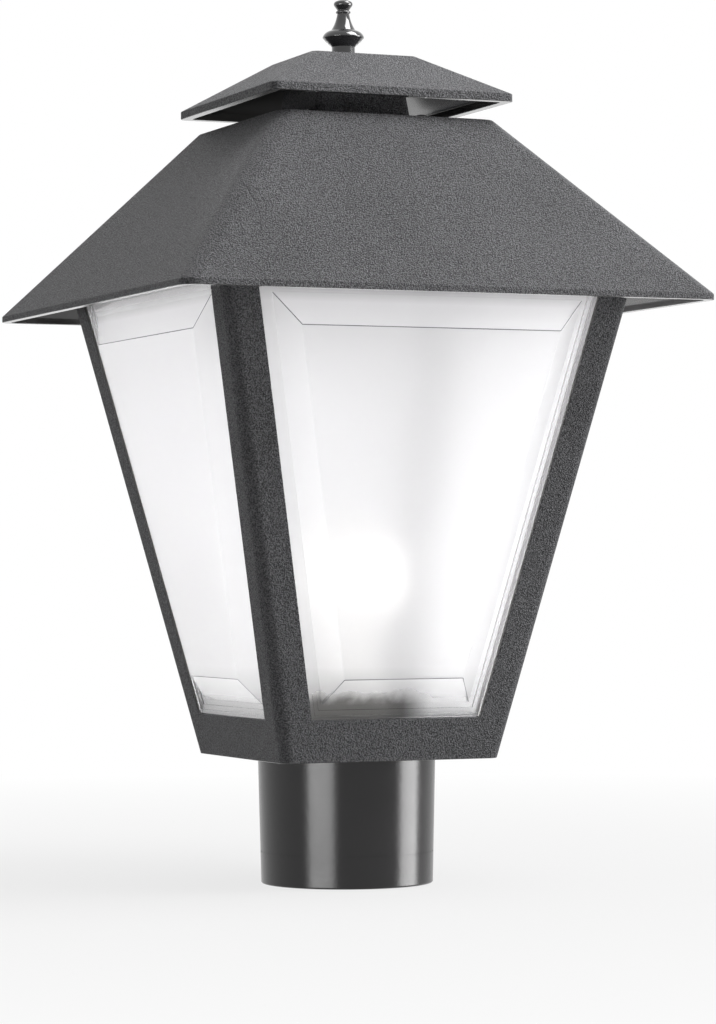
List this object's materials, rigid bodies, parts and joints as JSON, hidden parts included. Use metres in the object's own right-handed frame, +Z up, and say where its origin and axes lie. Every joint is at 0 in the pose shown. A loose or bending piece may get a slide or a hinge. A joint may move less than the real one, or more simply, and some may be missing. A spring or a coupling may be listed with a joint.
{
  "type": "post top lantern",
  "caption": "Outdoor lantern that slips over a round post: tapered square body with bevelled panes, overhanging vented roof, small cap and finial, with a screw-in lamp inside.",
  "frame": {"origin": "centre of the fitter's lower rim, on the axis of the post that it slips over", "axes": "+Z up along the post, the rod and the lamp; -Y faces the front pane, +X the right-hand pane"},
  "size_m": [0.2666, 0.2666, 0.4287],
  "materials": {
    "shell": "fine pebble grain, satin, charcoal",
    "gloss_black": "glossy black enamel",
    "satin_black": "semi-gloss black enamel",
    "pane": "frosted inside, clear bevelled outside",
    "zinc_steel": "zinc plated",
    "screw_steel": "zinc plated",
    "set_screw_steel": "blackened",
    "washer_rubber": "matt",
    "grommet_rubber": "matt",
    "porcelain": "glazed white porcelain",
    "shell_brass": "plain",
    "contact_brass": "plain",
    "lamp_glass": "frosted white",
    "lamp_metal": "plain",
    "lamp_insulation": "black vitrite",
    "earth_green": "green lacquer"
  },
  "bodies": {
    "lantern_body": {"fitter": "satin_black", "fitter_screws": "screw_steel", "body_frame": "shell", "lens_front": "pane", "lens_right": "pane", "lens_rear": "pane", "lens_left": "pane", "cross_strap": "zinc_steel", "strap_screws": "screw_steel", "centre_rod": "zinc_steel", "rod_nuts": "zinc_steel", "socket_bracket": "zinc_steel", "bracket_screws": "screw_steel", "ground_screw": "earth_green", "socket_body": "porcelain", "terminal_screws": "screw_steel", "socket_screws": "screw_steel", "socket_shell": "shell_brass", "socket_contact": "contact_brass", "wire_grommet": "grommet_rubber"},
    "roof": {"roof": "shell", "vent_neck": "shell", "neck_screws": "screw_steel"},
    "cap": {"vent_cap": "shell"},
    "finial_washer": {"finial_washer": "washer_rubber"},
    "finial": {"finial": "gloss_black"},
    "lamp_tip": {"lamp_contact": "contact_brass"},
    "lamp": {"lamp_base": "lamp_metal", "lamp_insulator": "lamp_insulation", "lamp_globe": "lamp_glass"},
    "set_screw_left": {"set_screw_left": "set_screw_steel"},
    "set_screw_right": {"set_screw_right": "set_screw_steel"}
  },
  "joints": [
    {"name": "roof_lift", "type": "slide", "parent": "lantern_body", "child": "roof", "axis": [0, 0, 1], "range_m": [0, 0.145]},
    {"name": "cap_lift", "type": "slide", "parent": "roof", "child": "cap", "axis": [0, 0, 1], "range_m": [0, 0.04]},
    {"name": "finial_lift", "type": "slide", "parent": "cap", "child": "finial_washer", "axis": [0, 0, 1], "range_m": [0, 0.0113]},
    {"name": "finial_spin", "type": "hinge", "parent": "finial_washer", "child": "finial", "pos_m": [0, 0, 0.401], "axis": [0, 0, 1], "range_deg": [0, 4032]},
    {"name": "lamp_lift", "type": "slide", "parent": "lantern_body", "child": "lamp_tip", "axis": [0, 0, 1], "range_m": [0, 0.0201]},
    {"name": "lamp_spin", "type": "hinge", "parent": "lamp_tip", "child": "lamp", "pos_m": [0, 0, 0.0744], "axis": [0, 0, 1], "range_deg": [0, 1983]},
    {"name": "set_screw_left_travel", "type": "slide", "parent": "lantern_body", "child": "set_screw_left", "axis": [-0.3746, 0.9272, 0], "range_m": [-0.0008, 0.004]},
    {"name": "set_screw_right_travel", "type": "slide", "parent": "lantern_body", "child": "set_screw_right", "axis": [0.9272, 0.3746, 0], "range_m": [-0.0008, 0.004]}
  ],
  "couplings": [
    {"joint": "finial_lift", "follows": "finial_spin", "m_per_rad": 0.00015915},
    {"joint": "lamp_lift", "follows": "lamp_spin", "m_per_rad": 0.00057773}
  ]
}
